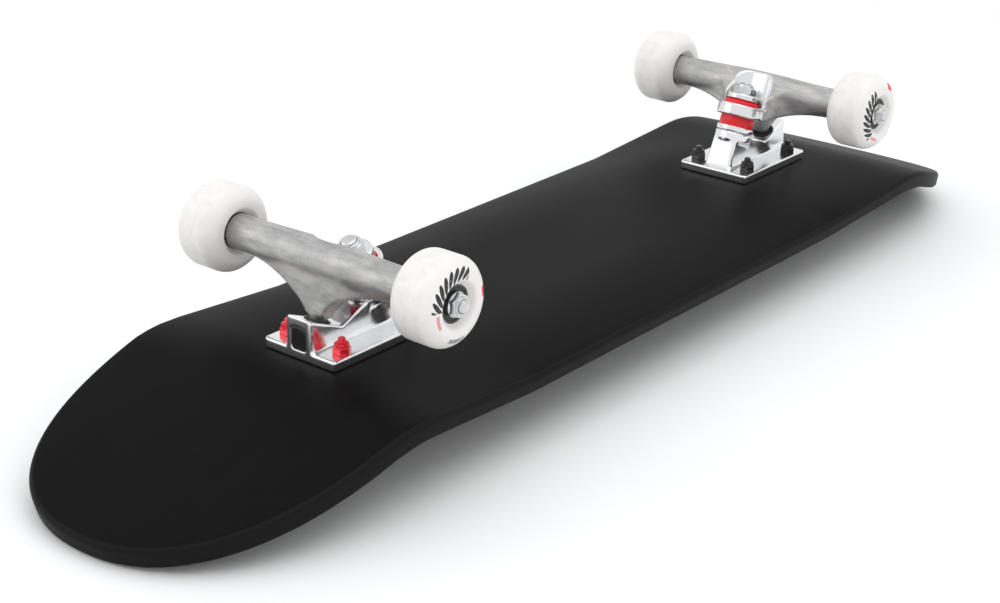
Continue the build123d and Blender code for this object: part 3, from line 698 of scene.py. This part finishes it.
def hanger_mesh():
    """The cast hanger, with its corners filled. "machined" marks the bright faces: the ring, the
    pocket around the kingpin nut and the barrel's ends."""
    def about_kingpin(co):
        local = (co - np.array(KING.translation)) @ np.array(KING.to_3x3())
        return local, -local[:, 2], np.hypot(local[:, 0], local[:, 1])

    mesh = remeshed("nose_hanger", TRUCKS["nose"], HANGER_VOXEL)
    co = points_of(mesh) / MM
    _, station, radius = about_kingpin(co)
    near_ring = (radius < RING_RADIUS + POCKET_SPREAD) & (station < RING_BOTTOM + 1)
    ends = np.abs(co[:, 1]) > HANGER_HALF - 2
    bore = np.hypot(co[:, 0] - AXLE_U, co[:, 2] - AXLE_W) < 6
    kept = (near_ring | ends | bore).astype(float)
    held = np.maximum(near_ring * 0.45, (ends | bore).astype(float))
    co = relax(mesh, fills=80, rounds=22, held_fill=kept, held_round=held) / MM
    local, station, radius = about_kingpin(co)
    off_slot = np.hypot(np.maximum(np.abs(local[:, 0]) - POCKET_SPREAD, 0), local[:, 1])
    ring = smoothstep(radius, RING_RADIUS + 1.6, RING_RADIUS + 0.8)
    ring *= smoothstep(station, RING_TOP - 1.2, RING_TOP - 0.4)
    pocket = smoothstep(off_slot, POCKET_RADIUS + 0.9, POCKET_RADIUS + 0.3)
    pocket *= smoothstep(station, RING_TOP + 1, RING_TOP)
    collar = smoothstep(np.abs(co[:, 1]), HANGER_HALF - 1.0, HANGER_HALF - 0.5)
    machined = np.maximum(np.maximum(ring, pocket), collar)
    mesh.attributes.new("machined", "FLOAT", "POINT").data.foreach_set("value", machined)
    mesh.shade_smooth()
    return mesh


def baseplate_mesh():
    """The cast baseplate. The plate's edges and the recess for the badge stay as they are."""
    mesh = remeshed("nose_baseplate", TRUCKS["nose"], BASEPLATE_VOXEL)
    along, across, above = (points_of(mesh) / MM).T
    plate_edge = (np.abs(across) > PLATE_WIDTH / 2 - 1.5) | (along < 2 - PLATE_LENGTH / 2) | (above < 1.5)
    badge = (along > PLATE_LENGTH / 2 - 1.2) & (np.abs(across) < 7) & (above > 5)
    held = (plate_edge | badge).astype(float)
    relax(mesh, fills=45, rounds=8, held_fill=held, held_round=held)
    mesh.shade_smooth()
    return mesh


# ---------------------------------------------------------------- small pieces, turned about local Z
def pivot_cup_shape():
    """A rubber cup, hollowed for the pivot pin's round end, with a lip on the tower."""
    lip, floor = PIVOT_RECESS, -PIVOT_BALL - 2.2
    outer = [(CUP_RADIUS - 0.5, floor, 0.6), (CUP_RADIUS, floor + 0.6, 0), (CUP_RADIUS, lip + 0.1, 0),
             (CUP_RADIUS + 0.45, lip + 0.1, 0.2), (CUP_RADIUS + 0.45, lip + 0.9, 0.4), (6.5, lip + 0.9, 0.3),
             (PIVOT_BALL + 0.3, 1.0, 1), (PIVOT_BALL + 0.2, -2.0, 1.5), (2.0, -PIVOT_BALL - 0.4, 0.5)]
    return lathe(rounded(outer))


def kingpin_shape():
    """The shank with a rolled thread at its free end and a hexagonal head."""
    thread = (-NUT_BOTTOM - 4, -1.0, FINE_PITCH, FINE_DEPTH)
    rows = 40
    profile = [(0, 0), (KING_RADIUS - 0.9, 0), (KING_RADIUS - 0.5, -0.2), (KING_RADIUS, -0.8)]
    profile += [(KING_RADIUS, -0.9 - k * FINE_ROW) for k in range(rows)]
    profile += [(KING_RADIUS, -NUT_BOTTOM - 6), (KING_RADIUS, -HEAD_TOP), (0, -HEAD_TOP)]
    return [lathe(profile, 64, 0, thread), hexagon(KING_FLATS, -HEAD_BOTTOM, -HEAD_TOP, 0)]


def kingpin_nut_shape():
    """A hexagonal lock nut with a round collar over its nylon ring."""
    bore, outer = KING_RADIUS + SNUG, 6.15
    collar = rounded([(bore, -NUT_TOP - 2.2, 0), (outer, -NUT_TOP - 2.2, 0), (outer, -NUT_TOP - 0.2, 0.7),
                      (5.2, -NUT_TOP, 0.25), (bore + 0.35, -NUT_TOP, 0.2), (bore, -NUT_TOP - 0.4, 0)])
    return [hexagon(KING_FLATS, -NUT_BOTTOM, -NUT_TOP - 1.8, bore, 0.75, 0.5), lathe(collar)]


def roadside_washer_shape():
    """A pressed cup washer, open towards the board."""
    top, rim, out, bore = -NUT_BOTTOM - SNUG, -TOP_WASHER_RIM, BUSHING_RADIUS, KING_RADIUS + SLIDING
    return lathe(rounded([(bore, top - 1.4, 0), (out - 2.2, top - 1.4, 0.6), (out - 1.4, rim, 0.3),
                          (out, rim, 0.5), (out, top, 1.5), (bore, top, 0.2)]))


def boardside_washer_shape():
    """A pressed cup washer, open towards the road."""
    floor, back, rim = -LOW_WASHER_FLOOR, -LOW_WASHER_BACK + SNUG, -LOW_WASHER_RIM
    bore, inside = KING_RADIUS + SLIDING, BUSHING_RADIUS + 0.15
    return lathe(rounded([(bore, back, 0), (WASHER_RADIUS, back, 1.3), (WASHER_RADIUS, rim, 0.4),
                          (inside, rim, 0.35), (inside, floor, 0.3), (bore, floor, 0)]))


def stretch_rows(profile, low, high, rows):
    """Adds evenly spaced rows to the long sides of a profile."""
    out = []
    for (r0, z0), (r1, z1) in zip(profile, profile[1:] + profile[:1]):
        steps = max(1, round(abs(z1 - z0) / (high - low) * rows))
        out += [(r0 + (r1 - r0) * k / steps, z0 + (z1 - z0) * k / steps) for k in range(steps)]
    return out


def roadside_bushing_shape():
    """The thinner bushing: full against the ring, narrow where it enters its washer."""
    top, seat, shoulder = -NUT_BOTTOM - 1.5, -RING_TOP - RING_SEAT + SEATED, -14.2
    bore, out = KING_RADIUS + 0.15, BUSHING_RADIUS
    profile = rounded([(bore, seat, 0), (out, seat, 0.4), (out + 0.1, shoulder, 1.5),
                       (out - 1.75, -TOP_WASHER_RIM, 0.5), (out - 2.4, top, 0.2), (bore, top, 0)])
    return lathe(stretch_rows(profile, seat, top, 12))


def boardside_bushing_shape():
    """The barrel bushing, fullest at its middle."""
    low, high = -LOW_WASHER_FLOOR + SEATED, -RING_BOTTOM + RING_SEAT - SEATED
    bore, out = KING_RADIUS + 0.15, BUSHING_RADIUS
    profile = rounded([(bore, low, 0), (out - 0.1, low, 0.6), (out - 0.1, -LOW_WASHER_RIM, 0.2),
                       (out + 0.35, (low + high) / 2, 3), (out, -RING_BOTTOM, 0.2), (out, high, 0.4),
                       (bore, high, 0)])
    return lathe(stretch_rows(profile, low, high, 18))


def axle_shape():
    """The axle: a plain rod with its end threaded where the nut goes."""
    tip, inner, lead = AXLE_HALF, STACK_END + SPEED_RING, 0.7
    rows = int((tip - lead - inner + 1) / FINE_ROW)
    side = [(AXLE_RADIUS, inner - 1 + k * FINE_ROW) for k in range(rows)]
    side += [(AXLE_RADIUS - 0.1, tip - lead), (AXLE_RADIUS - 0.8, tip), (0, tip)]
    profile = [(0, -tip)] + [(r, -z) for r, z in side[-2::-1]] + side[:-1] + [(0, tip)]
    return lathe(profile, 48, 0, (inner, tip - 0.75, FINE_PITCH, AXLE_THREAD_DEPTH))


def axle_nut_shape():
    """A hexagonal lock nut with a flange against the speed ring and a round collar."""
    low, bore = STACK_END + SPEED_RING + 0.01, AXLE_RADIUS + SNUG
    flange_radius, collar_radius = 7.3, 5.6
    flange = rounded([(bore, low, 0), (flange_radius, low, 0.3), (flange_radius, low + 0.9, 0.3),
                      (6.2, low + 1.6, 0), (bore, low + 1.6, 0)])
    top = low + AXLE_NUT_HEIGHT
    collar = rounded([(bore, top - 2, 0), (collar_radius, top - 2, 0), (collar_radius, top - 0.1, 0.7),
                      (4.8, top, 0.2), (bore, top - 0.3, 0.1)])
    return [lathe(flange), hexagon(AXLE_NUT_FLATS, low + 0.4, top - 1.2, bore, 0.7), lathe(collar)]


def shield_shape():
    """A rubber seal with a moulded step and a lip against the inner race."""
    half = BEARING_WIDTH / 2
    back, face, step = half - 0.75, half - 0.2, half - 0.38
    inside, outside = 6.05, 9.66
    return rounded([(inside, back, 0), (inside, face, 0.12), (6.7, face, 0.1), (6.9, step, 0.1),
                    (8.7, step, 0.1), (8.95, face, 0.1), (9.5, face, 0.12), (outside, half - 0.4, 0),
                    (outside, back, 0)], 3)


def wheel_shape():
    """A conical wheel: flat tread, round shoulders, a dished rim at the bearing seat."""
    half, seat, land = WHEEL_HALF, BEARING_OUTER, BEARING_WIDTH + SPACER_WIDTH / 2
    outer = [(26.0, 0), (26.0, 4), (26.0, 6.4), (25.85, 8.2), (25.3, 9.9), (24.3, 11.5), (22.9, 13.1),
             (21.2, 14.5), (19.6, 15.4), (18.0, 15.85), (16.2, 15.98), (14.9, 15.95), (14.2, 15.75),
             (13.5, 15.2), (12.7, 14.2), (12.0, 13.3), (11.5, 12.75), (11.02, 12.4)]
    fine = [outer[0]]
    for i in range(len(outer) - 1):
        p = [Vector(outer[min(max(i + k, 0), len(outer) - 1)]) for k in (-1, 0, 1, 2)]
        for k in range(1, 4):
            t = k / 3
            q = 0.5 * (2 * p[1] + (p[2] - p[0]) * t + (2 * p[0] - 5 * p[1] + 4 * p[2] - p[3]) * t * t
                       + (3 * p[1] - p[0] - 3 * p[2] + p[3]) * t ** 3)
            fine.append((q.x, min(q.y, half)))
    core = 9.3
    fine += [(seat, land), (seat, SPACER_WIDTH / 2 + SNUG), (core, SPACER_WIDTH / 2)]
    return lathe(fine + [(r, -z) for r, z in fine[:0:-1]], 128)


def bolt_shape():
    """Countersunk bolt with a hexagonal socket; its thread shows above the nut."""
    face, cone, top, lead = BOLT_FACE, BOLT_HEAD - BOLT_RADIUS, BOLT_TIP, 0.5
    socket, depth, edge, land = BOLT_SOCKET, 2.2, 0.15, 0.4
    profile = [(0, face + depth), (socket, face + depth), (socket, face + edge), (socket + 0.2, face),
               (BOLT_HEAD - edge, face), (BOLT_HEAD, face + edge), (BOLT_HEAD, face + land),
               (BOLT_RADIUS, face + land + cone), (BOLT_RADIUS, BOLT_THREAD_START)]
    first = BOLT_THREAD_START + 0.2
    profile += [(BOLT_RADIUS, first + k * BOLT_ROW) for k in range(int((top - lead - first) / BOLT_ROW))]
    profile += [(BOLT_RADIUS, top - lead), (BOLT_RADIUS - lead, top), (0, top)]
    return lathe(profile, 48, 0, (BOLT_THREAD_START, top - 0.4, BOLT_PITCH, BOLT_THREAD_DEPTH))


def mounting_nut_shape():
    """A small lock nut: a hexagonal foot under a tall round collar."""
    low, bore = PLATE_THICKNESS + 0.01, BOLT_RADIUS + SNUG
    top = low + LOCKNUT_HEIGHT
    waist, outer = low + 3.7, LOCKNUT_COLLAR
    collar = rounded([(bore, waist - 0.5, 0), (outer, waist - 0.5, 0), (outer, top - 0.3, 1.0),
                      (3.4, top, 0.5), (bore + 0.3, top, 0.1), (bore, top - 0.3, 0)])
    return [hexagon(LOCKNUT_FLATS, low, waist, bore, 0.6, 0.3), lathe(collar)]


def badge_shape():
    """A plain dark panel in the recess on the tower's outer face, with a dished middle."""
    corner, across, upright = BADGE_CORNER, BADGE_WIDTH / 2 - BADGE_CORNER, BADGE_HEIGHT / 2 - BADGE_CORNER
    outline = []
    for cx, cy, start in ((1, 1, 0), (-1, 1, 90), (-1, -1, 180), (1, -1, 270)):
        for k in range(7):
            a = math.radians(start + 15 * k)
            outline.append((cx * across + corner * math.cos(a), cy * upright + corner * math.sin(a)))
    points, count = [], len(outline)
    back = -0.5
    face, dish = back + BADGE_THICKNESS, back + BADGE_THICKNESS - 0.12
    for scale, z in ((1, back), (1, dish), (0.975, face), (0.80, face), (0.78, dish)):
        points += [(x * scale, y * scale, z) for x, y in outline]
    faces = [list(range(count)), list(range(4 * count, 5 * count))]
    for row in range(4):
        for k in range(count):
            j = (k + 1) % count
            faces.append([row * count + k, row * count + j, (row + 1) * count + j, (row + 1) * count + k])
    return np.array(points, float), faces


# ---------------------------------------------------------------- trucks
AXLE_NUTS = [moved(shape, way) for way in (Matrix.Identity(4), TURNED) for shape in axle_nut_shape()]
SHAPES = {
    "pivot_cup": (mesh_of("pivot_cup", [pivot_cup_shape()]), PIVOT, "pivot_rubber", "board"),
    "kingpin": (mesh_of("kingpin", kingpin_shape()), KING, "zinc_steel", "board"),
    "kingpin_nut": (mesh_of("kingpin_nut", kingpin_nut_shape()), KING, "zinc_steel", "board"),
    "roadside_washer": (mesh_of("roadside_washer", [roadside_washer_shape()]), KING, "bright_steel",
                        "board"),
    "boardside_washer": (mesh_of("boardside_washer", [boardside_washer_shape()]), KING, "bright_steel",
                         "board"),
    "baseplate": (baseplate_mesh(), Matrix.Identity(4), "polished_aluminium", "board"),
    "hanger": (hanger_mesh(), Matrix.Identity(4), "cast_aluminium", "hanger"),
    "axle": (mesh_of("axle", [axle_shape()]), AXLE, "axle_steel", "hanger"),
    "axle_nuts": (mesh_of("axle_nuts", AXLE_NUTS), AXLE, "zinc_steel", "hanger"),
}
# Each bushing with its heights on the kingpin where the board and the hanger hold it
BUSHINGS = {
    "roadside_bushing": (mesh_of("roadside_bushing", [roadside_bushing_shape()]),
                         -NUT_BOTTOM - 1.4, -RING_TOP - RING_SEAT),
    "boardside_bushing": (mesh_of("boardside_bushing", [boardside_bushing_shape()]),
                          -LOW_WASHER_FLOOR, -RING_BOTTOM + RING_SEAT),
}
BADGE = axes((PLATE_LENGTH / 2, 0, BADGE_MIDDLE), (0, 1, 0), (1, 0, 0))
badge_mesh = mesh_of("badge", [badge_shape()])
BOLT_GROUPS = {
    "nose": {"tip_side": ("red_hardware", BOLT_PLACES[:2]),
             "middle_side": ("black_hardware", BOLT_PLACES[2:])},
    "tail": {"mounting": ("black_hardware", BOLT_PLACES)},
}

for end, truck in TRUCKS.items():
    bodies = {"board": "board", "hanger": f"{end}_hanger_assembly"}
    for name, (mesh, place, slot, body) in SHAPES.items():
        piece(f"{end}_{name}_piece", mesh.copy(), truck @ place, MATERIALS[slot], slot, bodies[body],
              f"{end}_{name}")
    for name, (mesh, held, free) in BUSHINGS.items():
        bushing = piece(f"{end}_{name}_piece", mesh.copy(), truck @ KING, MATERIALS["bushing_urethane"],
                        "bushing_urethane", None, f"{end}_{name}")
        start, stop = [(truck @ KING @ Vector((0, 0, z))) * MM for z in (held, free)]
        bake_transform(bushing)
    piece(f"{end}_badge", badge_mesh.copy(), truck @ BADGE, MATERIALS["black_hardware"], "black_hardware",
          "board")
    for group, (slot, places) in BOLT_GROUPS[end].items():
        bolts = mesh_of("bolts", [moved(bolt_shape(), place) for place in places])
        nuts = mesh_of("nuts", [moved(shape, place) for place in places for shape in mounting_nut_shape()])
        for kind, mesh in (("bolts", bolts), ("nuts", nuts)):
            piece(f"{end}_{group}_{kind}_piece", mesh, truck, MATERIALS[slot], slot, "board",
                  f"{end}_{group}_{kind}")

# ---------------------------------------------------------------- wheels
# How far each wheel has rolled, which sets where its print stands
ROLLED = {"nose_left": -58.0, "nose_right": 30.0, "tail_left": 172.0, "tail_right": -80.0}
for corner, rolled in ROLLED.items():
    end, side = corner.split("_")
    flipped = (end == "nose") != (side == "left")
    hub = TRUCKS[end] @ AXLE @ (TURNED if flipped else Matrix.Identity(4))
    body = f"{corner}_wheel_assembly"
    wheel = mesh_of("wheel", [wheel_shape()], 50)
    turned_back = points_of(wheel) @ np.array(Matrix.Rotation(math.radians(rolled), 3, "Z"))
    print_place = wheel.attributes.new("print_place", "FLOAT_VECTOR", "POINT")
    print_place.data.foreach_set("vector", turned_back.ravel())
    place = hub @ Matrix.Translation((0, 0, WHEEL_MIDDLE))
    piece(f"{corner}_wheel_piece", wheel, place, MATERIALS["wheel_urethane"], "wheel_urethane", body,
          f"{corner}_wheel")
    seals = []
    for start in (INNER_BEARING, OUTER_BEARING):
        middle = Matrix.Translation((0, 0, start + BEARING_WIDTH / 2 - WHEEL_MIDDLE))
        seals += [moved(lathe(shield_shape()), middle), moved(lathe(shield_shape()), middle @ TURNED)]
    piece(f"{corner}_seals_piece", mesh_of("seals", seals), place, MATERIALS["bearing_shield"],
          "bearing_shield", body, f"{corner}_bearing_shields")

# ---------------------------------------------------------------- finishes of the CAD nodes that stay
KEPT = {
    "grip_tape": "grip_tape", "speed_rings": "zinc_steel", "bearing_spacers": "axle_steel",
    # The outer races take the black finish: partly a black bearing, partly painted shade for the dark gap
    # between the barrel's end and the wheel.
    "bearing_outer_races": "black_hardware", "bearing_inner_races": "bearing_steel",
    "bearing_balls": "bearing_steel", "bearing_cages": "bearing_cage",
}
for name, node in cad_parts.items():
    for ending, slot in KEPT.items():
        if name.endswith(ending):
            node.data.materials.clear()
            node.data.materials.append(MATERIALS[slot])

# ---------------------------------------------------------------- floor, light and camera
scene = bpy.context.scene
scene.view_settings.view_transform = "Standard"

FLOOR_HALF = 6
floor_corners = [(x * FLOOR_HALF, y * FLOOR_HALF, 0) for x, y in ((-1, -1), (1, -1), (1, 1), (-1, 1))]
floor_mesh = bpy.data.meshes.new("floor")
floor_mesh.from_pydata(floor_corners, [], [[0, 1, 2, 3]])
floor = bpy.data.objects.new("floor", floor_mesh)
scene.collection.objects.link(floor)
g = Graph("floor_paint")
g.set(Base_Color=g.ramp(g.noise(3, 2), (0.3, (0.91, 0.91, 0.91)), (0.7, (0.93, 0.93, 0.93))), Roughness=0.7)
g.shader.inputs["Specular IOR Level"].default_value = 0.2
floor_mesh.materials.append(g.material)

world = bpy.data.worlds.new("studio")
scene.world = world
world.use_nodes = True
sky = world.node_tree.nodes["Background"].inputs
sky["Color"].default_value = (0.98, 0.99, 1.0, 1)
sky["Strength"].default_value = 0.93


def softbox(name, place, aim, size, power):
    """A rectangular area light, in metres and watts, turned to face a point."""
    data = bpy.data.lights.new(name, "AREA")
    data.shape, data.size, data.size_y, data.energy = "RECTANGLE", size[0], size[1], power
    lamp = bpy.data.objects.new(name, data)
    lamp.location = place
    lamp.rotation_euler = (Vector(aim) - Vector(place)).to_track_quat("-Z", "Y").to_euler()
    scene.collection.objects.link(lamp)


softbox("top_light", (0.1, 0.45, 2.3), (0.05, 0, 0), (2.8, 2.4), 16)
softbox("side_light", (1.6, -1.5, 1.1), (0.2, 0, 0.1), (1.2, 1.0), 5)

# The camera stands in front of the nose, on the left, 0.51 m above the floor
YAW, PITCH, ROLL = math.radians(218.766), math.radians(-22.884), math.radians(1.038)
forward = Vector((math.cos(PITCH) * math.cos(YAW), math.cos(PITCH) * math.sin(YAW), math.sin(PITCH)))
right = forward.cross(Vector((0, 0, 1))).normalized()
up = right.cross(forward)
rolled_right = right * math.cos(ROLL) + up * math.sin(ROLL)
rolled_up = up * math.cos(ROLL) - right * math.sin(ROLL)
camera_data = bpy.data.cameras.new("camera")
camera_data.sensor_width, camera_data.lens = 36.0, 70.39
camera_data.clip_start, camera_data.clip_end = 0.01, 50
camera = bpy.data.objects.new("camera", camera_data)
camera.matrix_world = Matrix((rolled_right, rolled_up, -forward)).transposed().to_4x4()
camera.location = (0.9492, 0.7096, 0.5092)
scene.collection.objects.link(camera)
scene.camera = camera
